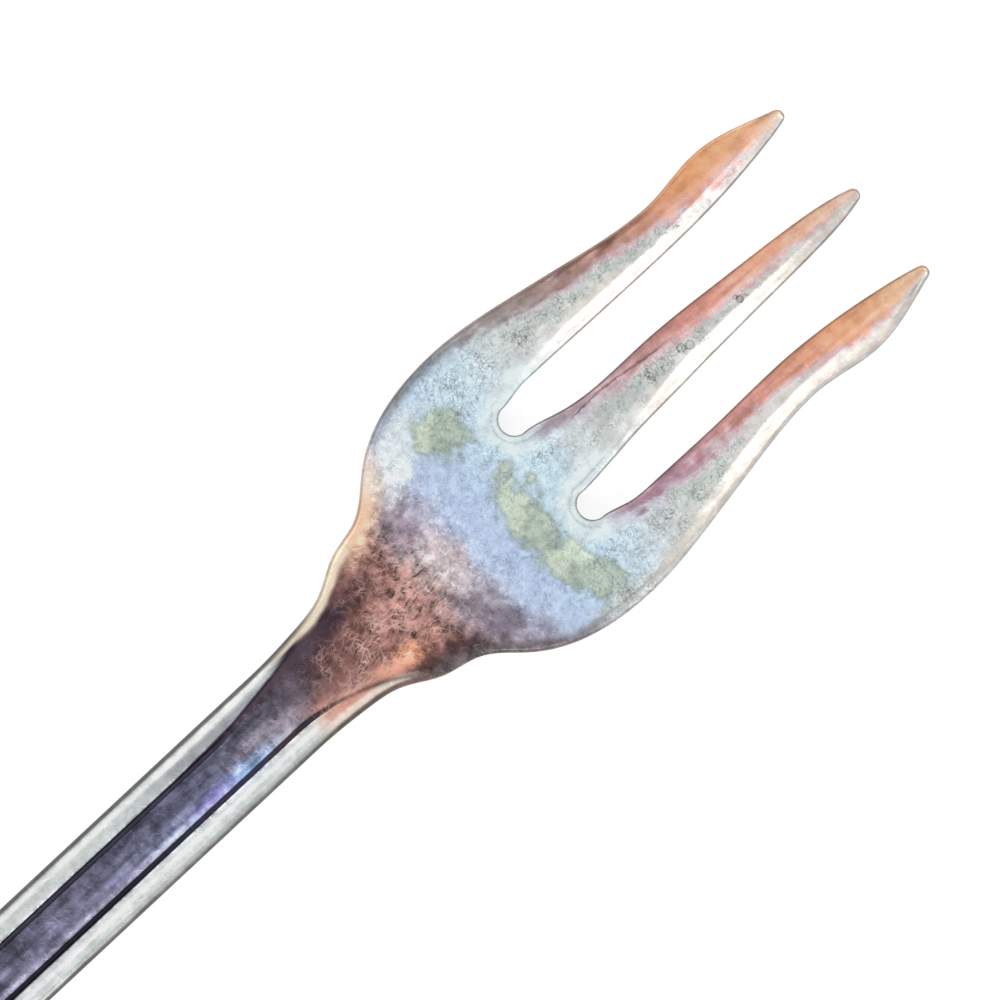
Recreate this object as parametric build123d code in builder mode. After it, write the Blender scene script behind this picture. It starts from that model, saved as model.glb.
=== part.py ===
from build123d import *
from math import cos, radians, sin
import os

# A three-tine oyster fork, pressed in one piece. Lengths are in millimetres.
# X runs across the fork, +Y points to the tips of the tines and +Z is up.
# The origin is under the middle of the fork, at the height of the table.

# Sizes along the fork
overall_length = 148.0
tine_length = 24.8
heel_length = 10.1
neck_length = 10.6
straight_stem_length = 46.0
handle_end_length = 9.0
rest_pad_length = 16.0
arch_to_heel_length = 40.0
tine_sweep_length = 22.0
heel_flat_length = 2.4
flare_length = 5.5
waist_length = 9.8
outer_tine_setback = 0.1

# Widths across the fork
handle_width = 13.0
stem_width = 5.87
shoulder_width = 10.8
head_width = 19.04
waist_width = 14.86
flare_width = 15.82
tine_tip_width = 0.9
outer_tip_spacing = 12.6
tip_lean = 16.0

# Slots between the tines
slot_root_width = 1.54
slot_root_spacing = 6.76
slot_root_depth = 0.75
slot_throat_length = 3.0
slot_throat_spacing = 8.86

# Heights of the back of the fork, and thicknesses of the metal measured straight up
arch_height = 6.4
tip_height = 5.6
handle_end_thickness = 1.7
pad_thickness = 1.9
stem_thickness = 2.5
heel_thickness = 1.8
tip_thickness = 1.1

# Thread groove that borders the handle
groove_inset = 1.64
groove_width = 0.4
groove_depth = 0.3

# Crowned fronts of the tines
crown_height = 0.5
crown_half_width = 3.55
crown_bulge = 0.05

# Rounding of the rims of the front and the back
rim_radius = 0.35

# Slope of the handle's taper halfway along it, as a multiple of its mean slope
taper_slope = 1.5

# How far up a wall's normal may point, as a share of 1
wall_limit_share = 0.3

# Reach of a cutting body past what it cuts
overrun = 1.0

# Points between the named sizes: shares of the way along the fork, then of the way across or up
neck_shares = [(0.36, 0.09), (0.58, 0.285), (0.79, 0.755)]
groove_neck_shares = [(0.36, 0.17), (0.58, 0.41), (0.79, 0.74)]
heel_shares = [(0.24, 0.455), (0.475, 0.79)]
outer_edge_shares = [(0.35, 0.29), (0.65, 0.69)]
flare_tip_shares = [(0.4, 0.22), (0.75, 0.66)]
inner_edge_shares = [(0.45, 0.02), (0.74, 0.26), (0.9, 0.64)]
middle_edge_shares = [(0.10, 0.25), (0.37, 0.40), (0.62, 0.53), (0.84, 0.70)]
arch_shares = [(0.5, 0.5)]
taper_shares = [(0.5, 0.5)]

# Crown of a tine from its root to past its tip: share of the tine length, place of the ridge of an
# outer tine as a share of where its tip is, then ridge and side heights as shares of the crown height
crown_shares = [
    (-0.02, 1.087, 1.0, -0.04),
    (0.2, 1.063, 0.6, -1.1),
    (0.5, 0.96, 0.3, -1.75),
    (0.8, 1.008, 0.2, -2.05),
    (1.15, 1.0, 0.1, -2.7),
]

half_length = overall_length / 2
tip_y = half_length
end_y = -half_length
slot_root_y = tip_y - tine_length
notch_y = slot_root_y - heel_length
neck_y = notch_y - neck_length
stem_y = neck_y - straight_stem_length
pad_y = end_y + rest_pad_length
heel_rest_y = tip_y - tine_sweep_length
arch_y = heel_rest_y - arch_to_heel_length
outer_tip_y = tip_y - outer_tine_setback
tip_radius = tine_tip_width / 2
lean = radians(tip_lean)
blank_height = arch_height + stem_thickness + tip_height

# Corners of the half outline, from the end of the handle to the tip of the middle tine
handle_end = (0, end_y)
handle_side = (handle_width / 2, end_y + handle_end_length)
stem_low = (stem_width / 2, stem_y)
stem_high = (stem_width / 2, neck_y)
shoulder = (shoulder_width / 2, notch_y)
widest = (head_width / 2, slot_root_y)
waist = (waist_width / 2, tip_y - waist_length)
flare_peak = (flare_width / 2, tip_y - flare_length)
outer_tip = (outer_tip_spacing / 2, outer_tip_y)
outer_tip_side = (outer_tip[0] + tip_radius * cos(lean), outer_tip_y - tip_radius * (1 - sin(lean)))
inner_tip_side = (outer_tip[0] - tip_radius * cos(lean), outer_tip_side[1])
throat = (slot_throat_spacing / 2, slot_root_y + slot_throat_length)
root_outer = ((slot_root_spacing + slot_root_width) / 2, slot_root_y + slot_root_depth)
root_bottom = (slot_root_spacing / 2, slot_root_y)
root_middle = ((slot_root_spacing - slot_root_width) / 2, slot_root_y + slot_root_depth)
middle_tip_side = (tip_radius * cos(lean), tip_y - tip_radius * (1 - sin(lean)))
middle_tip = (0, tip_y)

across = (1, 0)
along = (0, 1)
leaning_in = (-sin(lean), cos(lean))
leaning_out = (sin(lean), cos(lean))
up_the_tines = (1, 0.5)


def between(start, end, shares):
    """Points on the way from start to end: each pair of shares is along the fork, then across it."""
    width = end[0] - start[0]
    length = end[1] - start[1]
    return [(start[0] + wide * width, start[1] + far * length) for far, wide in shares]


def climb(start, end, shares):
    """Points of the side view from start to end: each pair of shares is along the fork, then up."""
    length = end[0] - start[0]
    height = end[1] - start[1]
    return [(start[0] + far * length, start[1] + high * height) for far, high in shares]


def front_line(drop):
    """The front of the fork in the side view, lowered by drop, from the handle end to the tips."""
    end = (end_y, handle_end_thickness - drop)
    pad = (pad_y, pad_thickness - drop)
    arch = (arch_y, arch_height + stem_thickness - drop)
    heel = (heel_rest_y, heel_thickness - drop)
    tip = (tip_y, tip_height + tip_thickness - drop)
    rising = climb(pad, arch, arch_shares)
    falling = climb(arch, heel, arch_shares)
    return Spline(end, pad, *rising, arch, *falling, heel, tip, tangents=[across, up_the_tines])


def back_line():
    """The back of the fork in the side view: the pad, the arch, the flat under the heel, the tines."""
    end = (end_y, 0)
    pad = (pad_y, 0)
    arch = (arch_y, arch_height)
    heel = (heel_rest_y - heel_flat_length / 2, 0)
    heel_front = (heel_rest_y + heel_flat_length / 2, 0)
    tip = (tip_y, tip_height)
    rising = climb(pad, arch, arch_shares)
    falling = climb(arch, heel, arch_shares)
    Line(end, pad)
    Spline(pad, *rising, arch, *falling, heel, tangents=[across, across])
    Line(heel, heel_front)
    Spline(heel_front, tip, tangents=[across, up_the_tines])
    Line(end, (end_y, handle_end_thickness))
    Line(tip, (tip_y, tip_height + tip_thickness))


def taper(start, end):
    """An S-shaped curve from start to end, upright at both, drawn as two curves that meet halfway."""
    halfway = between(start, end, taper_shares)[0]
    slanting = (taper_slope * (end[0] - start[0]), end[1] - start[1])
    Spline(start, halfway, tangents=[along, slanting])
    Spline(halfway, end, tangents=[slanting, along])


def groove_region(shift):
    """The front of the handle inside its thread groove, in plan, grown outward by shift."""
    inset = groove_inset - shift
    side = (handle_side[0] - inset, handle_side[1])
    low = (stem_low[0] - inset, stem_y)
    high = (stem_high[0] - inset, neck_y)
    run_out = (shoulder[0] + shift, notch_y)
    with BuildSketch() as region:
        with BuildLine():
            Spline((0, end_y + inset), side, tangents=[across, along])
            taper(side, low)
            Line(low, high)
            Spline(high, *between(high, run_out, groove_neck_shares), run_out)
            Line(run_out, (0, notch_y))
            mirror(about=Plane.YZ)
        make_face()
    return region.sketch


# Plan of the fork without its slots, extruded into a tall blank, cut to the side view and rounded
with BuildPart() as blank:
    with BuildSketch() as outline:
        with BuildLine():
            Spline(handle_end, handle_side, tangents=[across, along])
            taper(handle_side, stem_low)
            Line(stem_low, stem_high)
            neck = between(stem_high, shoulder, neck_shares)
            heel = between(shoulder, widest, heel_shares)
            Spline(stem_high, *neck, shoulder, *heel, widest, tangents=[along, along])
            outer_edge = between(widest, waist, outer_edge_shares)
            Spline(widest, *outer_edge, waist, tangents=[along, along])
            Spline(waist, flare_peak, tangents=[along, along])
            flare = between(flare_peak, outer_tip_side, flare_tip_shares)
            Spline(flare_peak, *flare, outer_tip_side, tangents=[along, leaning_in])
            Line(outer_tip_side, (outer_tip_side[0], tip_y))
            Line((outer_tip_side[0], tip_y), middle_tip)
            mirror(about=Plane.YZ)
        make_face()
    extrude(amount=blank_height, both=True)
    with BuildSketch(Plane.YZ.offset(-head_width)):
        with BuildLine():
            front = front_line(0)
            back_line()
        make_face()
    extrude(amount=2 * head_width, mode=Mode.INTERSECT)
    walls = blank.faces().filter_by(lambda face: abs(face.normal_at().Z) < wall_limit_share)
    outer_walls = walls.filter_by(lambda face: face.center().Y < tip_y - overrun)
    fillet(outer_walls.edges().filter_by(Axis.Z, reverse=True), radius=rim_radius)

# The two slots and the space in front of the tips, which shape the tines
with BuildPart() as slots:
    with BuildSketch():
        with BuildLine():
            ThreePointArc(outer_tip_side, outer_tip, inner_tip_side)
            inner_edge = between(throat, inner_tip_side, inner_edge_shares)
            Spline(throat, *inner_edge, inner_tip_side, tangents=[along, leaning_out])
            Spline(root_outer, throat, tangents=[along, along])
            ThreePointArc(root_outer, root_bottom, root_middle)
            middle_edge = between(root_middle, middle_tip_side, middle_edge_shares)
            Spline(root_middle, *middle_edge, middle_tip_side, tangents=[along, leaning_in])
            RadiusArc(middle_tip, middle_tip_side, tip_radius)
            Line(outer_tip_side, (head_width, outer_tip_side[1]))
            Line((head_width, outer_tip_side[1]), (head_width, tip_y + overrun))
            Line((head_width, tip_y + overrun), (0, tip_y + overrun))
            mirror(about=Plane.YZ)
        make_face()
    extrude(amount=blank_height, both=True)

# Thread groove: a narrow band inside the outline, as deep as the groove everywhere
with BuildPart() as groove:
    add(extrude(groove_region(groove_width / 2) - groove_region(-groove_width / 2), amount=blank_height))
    with BuildSketch(Plane.YZ.offset(-head_width)):
        with BuildLine():
            floor = front_line(groove_depth)
            Line(floor @ 0, (end_y, blank_height))
            Line((end_y, blank_height), (tip_y, blank_height))
            Line((tip_y, blank_height), floor @ 1)
        make_face()
    extrude(amount=2 * head_width, mode=Mode.INTERSECT)


def front_height(y):
    """Height of the front of a tine above the table, carried on straight past its tip."""
    past_tip = max(y - tip_y, 0)
    slope = (front % 1).Y / (front % 1).X
    crossing = Plane.YZ.offset(y - past_tip).intersect(front)
    return crossing.vertices()[0].Y + past_tip * slope


def crown_cutter(inner_x, outer_x, side):
    """What is cut from the front of the tine between inner_x and outer_x to leave it crowned."""
    with BuildPart() as crown:
        for y_share, x_share, ridge_share, edge_share in crown_shares:
            y = slot_root_y + y_share * tine_length
            x = side * x_share * outer_tip[0]
            ridge = (0, ridge_share * crown_height)
            right = (crown_half_width, edge_share * crown_height)
            left = (-crown_half_width, edge_share * crown_height)
            station = Plane(origin=(x, y, front_height(y)), x_dir=(1, 0, 0), z_dir=(0, -1, 0))
            with BuildSketch(station):
                with BuildLine():
                    SagittaArc(right, ridge, -crown_bulge)
                    SagittaArc(ridge, left, -crown_bulge)
                    Line(left, (-crown_half_width, -blank_height))
                    Line((-crown_half_width, -blank_height), (crown_half_width, -blank_height))
                    Line((crown_half_width, -blank_height), right)
                make_face()
        loft()
    near_y = slot_root_y + slot_root_depth / 2
    far_y = tip_y + overrun
    with BuildPart() as cutter:
        with BuildSketch():
            with BuildLine():
                Polyline((inner_x, near_y), (outer_x, near_y), (outer_x, far_y), (inner_x, far_y), close=True)
            make_face()
        extrude(amount=blank_height)
        add(crown.part, mode=Mode.SUBTRACT)
    return cutter.part


slot_middle = slot_root_spacing / 2
with BuildPart() as fork:
    add(blank.part)
    add(slots.part, mode=Mode.SUBTRACT)
    add(crown_cutter(-slot_middle, slot_middle, 0), mode=Mode.SUBTRACT)
    add(crown_cutter(slot_middle, head_width, 1), mode=Mode.SUBTRACT)
    add(crown_cutter(-slot_middle, -head_width, -1), mode=Mode.SUBTRACT)
    add(groove.part, mode=Mode.SUBTRACT)

fork.part.label = "fork"
os.makedirs("parts", exist_ok=True)
export_step(fork.part, "parts/fork.step")
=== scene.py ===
import math

import bmesh
import bpy
import numpy as np
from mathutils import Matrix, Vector, kdtree


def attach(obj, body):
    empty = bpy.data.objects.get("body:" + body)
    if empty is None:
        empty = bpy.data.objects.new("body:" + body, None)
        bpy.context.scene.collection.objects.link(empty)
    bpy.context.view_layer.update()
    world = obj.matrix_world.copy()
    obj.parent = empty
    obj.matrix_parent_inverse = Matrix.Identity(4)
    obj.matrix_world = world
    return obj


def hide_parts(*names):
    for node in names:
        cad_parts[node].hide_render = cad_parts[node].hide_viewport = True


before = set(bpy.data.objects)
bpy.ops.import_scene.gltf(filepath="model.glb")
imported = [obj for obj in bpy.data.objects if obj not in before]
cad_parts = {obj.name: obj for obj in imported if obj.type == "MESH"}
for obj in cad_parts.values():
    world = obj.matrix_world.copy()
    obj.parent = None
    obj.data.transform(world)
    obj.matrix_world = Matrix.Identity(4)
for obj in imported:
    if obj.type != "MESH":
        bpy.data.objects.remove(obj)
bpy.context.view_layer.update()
scene = bpy.context.scene

# The fork's own sizes, in millimetres, as in the CAD. The fork lies along y, with its tips at the far end.
MM = 0.001
half_length = 74.0
outer_tip_y = 73.9
slot_root_y = 49.2
notch_y = 39.1
neck_y = 28.5
stem_y = -17.5
handle_side_y = -65.0
handle_half_width = 6.5
stem_half_width = 2.935
shoulder_half_width = 5.4
head_half_width = 9.52
waist = (7.43, 64.2)
flare_peak = (7.91, 68.5)
tine_x = 6.3
tine_length = half_length - slot_root_y
tip_radius = 0.45
lean_degrees = 16
slot_middle = 3.38
root_half_width, root_rise = 0.93, 0.75
throat = (4.6, slot_root_y + 3.0)
rim = 0.35
slot_rim_less = 0.19
groove_inset = 1.64
groove_x = stem_half_width - groove_inset
groove_half_width, groove_depth = 0.15, 0.12
bead_middle, bead_reach, bead_drop = 0.82, 0.8, 0.08
left_fade, right_fade, fade_length = -4.5, 0.8, 3
thinnest = 0.06
stem_points = 2300

# the side view: where the handle, its pad, the arch and the heel are, and how high the fork is there
handle_y, pad_y, arch_y, heel_y = -half_length, -58.0, 12.0, 52.0
heel_flat_half = 1.2
end_front, pad_front, arch_front, heel_front, tip_front = 1.7, 1.9, 8.9, 1.8, 6.7
arch_back, tip_back = 6.4, 5.6

# where an outline passes between two named points, as shares of the way along and of the way across
neck_shares = [(0.36, 0.09), (0.58, 0.285), (0.79, 0.755)]
palm_shares = [(0.24, 0.455), (0.475, 0.79)]
waist_shares = [(0.35, 0.29), (0.65, 0.69)]
point_shares = [(0.4, 0.22), (0.75, 0.66)]
inner_side_shares = [(0.45, 0.02), (0.74, 0.26), (0.9, 0.64)]
middle_side_shares = [(0.10, 0.25), (0.37, 0.40), (0.62, 0.53), (0.84, 0.70)]
groove_shares = [(0.36, 0.17), (0.58, 0.41), (0.79, 0.74)]
halfway_shares = [(0.5, 0.5)]

lean = math.radians(lean_degrees)
across, along = (1, 0), (0, 1)
leaning_in, leaning_out = (-math.sin(lean), math.cos(lean)), (math.sin(lean), math.cos(lean))
up_the_tines, out_of_the_neck = (1, 0.5), (1, 1.2)


def spline(points, start, end, step=0.02):
    """A smooth curve through points that leaves along start and arrives along end, as close points."""
    knots = np.array(points, float)
    steps = np.diff(knots, axis=0)
    gaps = np.linalg.norm(steps, axis=1)
    n = len(knots)
    system, wanted = np.eye(n), np.zeros((n, 2))
    wanted[0] = np.array(start) / np.linalg.norm(start)
    wanted[-1] = np.array(end) / np.linalg.norm(end)
    for i in range(1, n - 1):
        before, after = gaps[i - 1], gaps[i]
        system[i, i - 1 : i + 2] = after, 2 * (before + after), before
        wanted[i] = 3 * (after * steps[i - 1] / before + before * steps[i] / after)
    ways = np.linalg.solve(system, wanted)
    curve = []
    for i, gap in enumerate(gaps):
        t = np.linspace(0, 1, max(int(gap / step), 2), endpoint=False)[:, None]
        curve.append(
            (2 * t**3 - 3 * t**2 + 1) * knots[i]
            + (t**3 - 2 * t**2 + t) * gap * ways[i]
            + (3 * t**2 - 2 * t**3) * knots[i + 1]
            + (t**3 - t**2) * gap * ways[i + 1]
        )
    curve.append(knots[-1:])
    return np.concatenate(curve)


def between(start, end, shares):
    """Places between two points, each from its share of the way along y and of the way across x."""
    width, length = end[0] - start[0], end[1] - start[1]
    return [(start[0] + wide * width, start[1] + far * length) for far, wide in shares]


def climb(start, end, shares):
    """Places between two points of a side view, each from its share of the way along and of the rise."""
    length, rise = end[0] - start[0], end[1] - start[1]
    return [(start[0] + far * length, start[1] + high * rise) for far, high in shares]


def arc(centre, radius, start, end, n=60):
    t = np.radians(np.linspace(start, end, n))
    return np.stack([centre[0] + radius * np.cos(t), centre[1] + radius * np.sin(t)], 1)


def taper(start, end):
    """A slender S between two points, straight up at both of them."""
    halfway = between(start, end, halfway_shares)[0]
    slanting = (1.5 * (end[0] - start[0]), end[1] - start[1])
    low, high = spline([start, halfway], along, slanting), spline([halfway, end], slanting, along)
    return np.concatenate([low, high[1:]])


def straight(x, start, end, n):
    return np.stack([np.full(n, x), np.linspace(start, end, n)], 1)


def tip_side(x, y, way):
    """Where the round tip that ends at x, y meets the side of its tine."""
    return (x + way * tip_radius * math.cos(lean), y - tip_radius * (1 - math.sin(lean)))


def round_tip(x, y, start):
    return arc((x, y - tip_radius), tip_radius, start, 90)[1:]


# the outlines of the right half
handle_side = (handle_half_width, handle_side_y)
stem_low, stem_high = (stem_half_width, stem_y), (stem_half_width, neck_y)
shoulder, widest = (shoulder_half_width, notch_y), (head_half_width, slot_root_y)
outer_tip_side = tip_side(tine_x, outer_tip_y, 1)
inner_tip_side = tip_side(tine_x, outer_tip_y, -1)
middle_tip_side = tip_side(0, half_length, 1)
root_outer = (slot_middle + root_half_width, slot_root_y + root_rise)
root_middle = (slot_middle - root_half_width, slot_root_y + root_rise)
neck_points = [stem_high] + between(stem_high, shoulder, neck_shares) + [shoulder]
palm_points = between(shoulder, widest, palm_shares) + [widest]
outer_edge = np.concatenate(
    [
        spline([(0, -half_length), handle_side], across, along),
        taper(handle_side, stem_low)[1:],
        straight(stem_half_width, stem_y, neck_y, stem_points + 1)[1:],
        spline(neck_points + palm_points, along, along)[1:],
        spline([widest] + between(widest, waist, waist_shares) + [waist], along, along)[1:],
        spline([waist, flare_peak], along, along)[1:],
        spline(
            [flare_peak] + between(flare_peak, outer_tip_side, point_shares) + [outer_tip_side],
            along,
            leaning_in,
        )[1:],
        round_tip(tine_x, outer_tip_y, lean_degrees),
    ]
)
root_radius = (root_half_width**2 + root_rise**2) / (2 * root_rise)
root_end = math.degrees(math.asin(root_half_width / root_radius)) - 90
root_arc = arc((slot_middle, slot_root_y + root_radius), root_radius, -90, root_end, 80)
mirrored_root = np.stack([2 * slot_middle - root_arc[:, 0], root_arc[:, 1]], 1)
inner_edge = np.concatenate(
    [
        root_arc,
        spline([root_outer, throat], along, along)[1:],
        spline(
            [throat] + between(throat, inner_tip_side, inner_side_shares) + [inner_tip_side],
            along,
            leaning_out,
        )[1:],
        round_tip(tine_x, outer_tip_y, 180 - lean_degrees),
    ]
)
middle_edge = np.concatenate(
    [
        mirrored_root,
        spline(
            [root_middle] + between(root_middle, middle_tip_side, middle_side_shares) + [middle_tip_side],
            along,
            leaning_in,
        )[1:],
        round_tip(0, half_length, lean_degrees),
    ]
)

groove_side, groove_low = (handle_half_width - groove_inset, handle_side_y), (groove_x, stem_y)
groove_high, run_out = (groove_x, neck_y), (shoulder_half_width, notch_y)
groove_points = np.concatenate(
    [
        spline([(0, groove_inset - half_length), groove_side], across, along),
        taper(groove_side, groove_low),
        straight(groove_x, stem_y, neck_y, stem_points),
        spline(
            [groove_high] + between(groove_high, run_out, groove_shares) + [run_out],
            along,
            out_of_the_neck,
        ),
    ]
)

# the front and the back in the side view, as points of y and height
side_step = 0.1
pad_top, arch_top, heel_top = (pad_y, pad_front), (arch_y, arch_front), (heel_y, heel_front)
front_points = [(handle_y, end_front), pad_top] + climb(pad_top, arch_top, halfway_shares) + [arch_top]
front_points += climb(arch_top, heel_top, halfway_shares) + [heel_top, (half_length, tip_front)]
front_line = spline(front_points, across, up_the_tines, side_step)
pad_under, arch_under, heel_under = (pad_y, 0), (arch_y, arch_back), (heel_y - heel_flat_half, 0)
back_points = [pad_under] + climb(pad_under, arch_under, halfway_shares) + [arch_under]
back_points += climb(arch_under, heel_under, halfway_shares) + [heel_under]
back_line = np.concatenate(
    [
        [(handle_y, 0)],
        spline(back_points, across, across, side_step),
        spline([(heel_y + heel_flat_half, 0), (half_length, tip_back)], across, up_the_tines, side_step),
    ]
)

# the mesh: rows up the fork and columns across it, in millimetres
coarse_step, fine_step, closest_step, step_growth = 0.5, 0.17, 0.01, 0.11
fine_from_y = 18
guide_share, guide_from_y = 0.36, 36
bead_end, groove_end = 1.29, 1.99
groove_strip_room, plain_strip_room = 2.75, 1.1
side_columns, middle_columns = 14, 34
lowest_y = -73.996  # just inside the end of the solid


def smooth(edge0, edge1, x):
    """A soft step from nothing up to one."""
    t = np.clip((x - edge0) / (edge1 - edge0), 0, 1)
    return t * t * (3 - 2 * t)


def fall(edge0, edge1, x):
    """A soft step from one down to nothing."""
    return 1 - smooth(edge0, edge1, x)


def band(start, end, soft, x):
    """One between start and end, and nothing outside them, with a soft change at both."""
    return smooth(start - soft, start + soft, x) * fall(end - soft, end + soft, x)


def march(start, end, widest_step):
    """Rows from start to end, packed closely at both ends, where the outline turns fast."""
    rows = [start]
    while rows[-1] < end:
        y = rows[-1]
        room = min(y - start, end - y)
        step = widest_step if y < fine_from_y else min(widest_step, fine_step)
        rows.append(y + min(step, closest_step + step_growth * abs(room)))
    rows = np.array(rows)
    return start + (rows - start) * (end - start) / (rows[-1] - start)


def columns(width, with_groove, count):
    """Distances across a strip of each width: packed at its rims, and where the groove lies."""
    rim_steps = rim * (1 - np.cos(np.linspace(0, math.pi / 2, 8)))
    head = [rim_steps]
    if with_groove:
        head += [np.linspace(rim, bead_end, 8)[1:], np.linspace(bead_end, groove_end, 13)[1:]]
    head = np.concatenate(head)
    scale = np.minimum(1, width / (groove_strip_room if with_groove else plain_strip_room))
    a, b = head[-1] * scale, width - rim * scale
    body = a[:, None] + (b - a)[:, None] * np.linspace(0, 1, count + 1)[None, 1:-1]
    tail = width[:, None] - rim_steps[::-1][None, :] * scale[:, None]
    return np.concatenate([head[None, :] * scale[:, None], body, tail], 1)


def at(line, y):
    return np.interp(y, line[:, 1], line[:, 0])


low_rows = march(-half_length, slot_root_y, coarse_step)
high_rows = march(slot_root_y, half_length, fine_step)
rows = np.concatenate([low_rows, high_rows[1:]])
n_low = len(low_rows)

past_tip = rows > outer_tip_y
to_tip = np.minimum(rows, outer_tip_y)
outer_x = at(outer_edge, to_tip)
guide = np.interp(rows, [guide_from_y, slot_root_y], [guide_share, slot_middle / head_half_width]) * outer_x
inner_x = np.where(rows <= slot_root_y, guide, at(inner_edge, to_tip))
middle_x = np.where(rows <= slot_root_y, guide, at(middle_edge, rows))
outer_x = np.where(past_tip, tine_x, outer_x)
inner_x = np.where(past_tip, tine_x, inner_x)
right_strip = outer_x[:, None] - columns(outer_x - inner_x, True, side_columns)
middle_strip = -middle_x[:, None] + columns(2 * middle_x, False, middle_columns)
strips = [-right_strip, middle_strip, right_strip[:, ::-1]]


def mirrored(*lines):
    """The lines of the right half, and the same on the left."""
    joined = np.concatenate(lines)
    return np.concatenate([joined, joined * (-1, 1)])


def tree_of(points):
    tree = kdtree.KDTree(len(points))
    for i, (x, y) in enumerate(points):
        tree.insert((x, y, 0), i)
    tree.balance()
    return tree


def distance(tree, x, y):
    found = [tree.find((a, b, 0))[2] for a, b in zip(x.ravel().tolist(), y.ravel().tolist())]
    return np.array(found).reshape(x.shape)


edge_tree = tree_of(mirrored(outer_edge, inner_edge, middle_edge))
outer_tree = tree_of(mirrored(outer_edge))
slot_tree = tree_of(mirrored(inner_edge, middle_edge))
groove_tree = tree_of(mirrored(groove_points))

# The roof of a tine: the heights of its ridge and of its sides, in millimetres, and the place of the ridge as
# a share of tine_x, each at shares of the way up the tine.
roof_at_shares = np.array([-0.02, 0.2, 0.5, 0.8, 1.15])
ridge_fit = np.polyfit(roof_at_shares, [0.5, 0.3, 0.15, 0.1, 0.05], 4)
side_fit = np.polyfit(roof_at_shares, [-0.02, -0.55, -0.875, -1.025, -1.35], 4)
place_fit = np.polyfit(roof_at_shares, [1.087, 1.063, 0.96, 1.008, 1.0], 4)
roof_reach, ridge_soft = 3.55, 0.05

# how far the tips lean, from left to right, and how far the sides of the right slot lie to the right, in mm
tip_leans, lean_power = (0.47, 0.58, 0.34), 1.7
middle_wider, right_slimmer = 0.46, 0.26


def surface(x, y, tine):
    """The heights at x, y, the distances to the edges and to the groove, and the way up the tine."""
    edge = distance(edge_tree, x, y)
    outer = distance(outer_tree, x, y)
    groove = distance(groove_tree, x, y)
    front = np.interp(y, front_line[:, 0], front_line[:, 1])
    back = np.interp(y, back_line[:, 0], back_line[:, 1])
    t = (y - slot_root_y) / tine_length
    ridge_x = tine * tine_x * np.polyval(place_fit, t)
    ridge, side = np.polyval(ridge_fit, t), np.polyval(side_fit, t)
    roof = ridge - (ridge - side) * np.abs(x - ridge_x) / roof_reach
    flat_off = ridge_soft / 2 * np.exp(-((roof / ridge_soft) ** 2))
    cut = (-roof + np.sqrt(roof**2 + ridge_soft**2)) / 2 - flat_off
    cut = np.maximum(cut, 0) * smooth(-0.01, 0.06, t)
    radius = rim - slot_rim_less * smooth(0, 0.3, outer - edge)
    rounding = radius - np.sqrt(np.maximum(radius**2 - np.maximum(radius - edge, 0) ** 2, 0))
    fades_from = neck_y + np.where(x < 0, left_fade, right_fade)
    line = np.exp(-((groove / groove_half_width) ** 4)) * fall(fades_from, fades_from + fade_length, y)
    on_stem = fall(neck_y - fade_length, neck_y + fade_length, y)
    bead = bead_drop * (np.maximum(1 - ((outer - bead_middle) / bead_reach) ** 2, 0) - 1) * on_stem
    top = front - cut - groove_depth * line + bead - rounding
    bottom = back + rounding
    top = np.maximum(top, bottom + thinnest)
    return dict(top=top, bottom=bottom, edge=edge, outer=outer, groove=groove, line=line, t=t)


def by_tine(tine, left, middle, right):
    """For each point, the value of its own tine."""
    return np.select([tine == -1, tine == 0], [left, middle], right)


def way_across(x, y, tine):
    """How far x lies across its tine, from 0 at the left side to 1 at the right side."""
    left_side = by_tine(tine, -at(outer_edge, y), -at(middle_edge, y), at(inner_edge, y))
    right_side = by_tine(tine, -at(inner_edge, y), at(middle_edge, y), at(outer_edge, y))
    return (x - left_side) / np.maximum(right_side - left_side, 0.05)


def bend(x, y, tine):
    """The place of x on the real fork: its tines lean a little, and its right slot lies further right."""
    t = np.clip((y - slot_root_y) / tine_length, 0, 1)
    leans = by_tine(tine, *tip_leans) * t**lean_power
    way = np.clip(way_across(x, y, tine), 0, 1)
    wider = middle_wider * way * smooth(0.02, 0.17, t) * fall(0.17, 0.5, t)
    slimmer = right_slimmer * (1 - way) * smooth(0.03, 0.16, t) * fall(0.33, 0.65, t)
    return x + leans + by_tine(tine, 0, wider, slimmer)


grids = []
for tine, strip in zip((-1, 0, 1), strips):
    far = np.clip(rows, lowest_y, half_length if tine == 0 else outer_tip_y)
    grids.append((tine, strip, np.repeat(far[:, None], strip.shape[1], 1)))
all_x = np.concatenate([strip.ravel() for _, strip, _ in grids])
all_y = np.concatenate([far.ravel() for _, _, far in grids])
all_tine = np.concatenate([np.full(strip.size, tine) for tine, strip, _ in grids])
data = surface(all_x, all_y, all_tine)
bent = bend(all_x, all_y, all_tine)
n_side = len(all_x)
points = np.concatenate([np.stack([bent, all_y, data[side]], 1) for side in ("top", "bottom")])

ids = []
offset = 0
for _, strip, _ in grids:
    ids.append(offset + np.arange(strip.size).reshape(strip.shape))
    offset += strip.size
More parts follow.
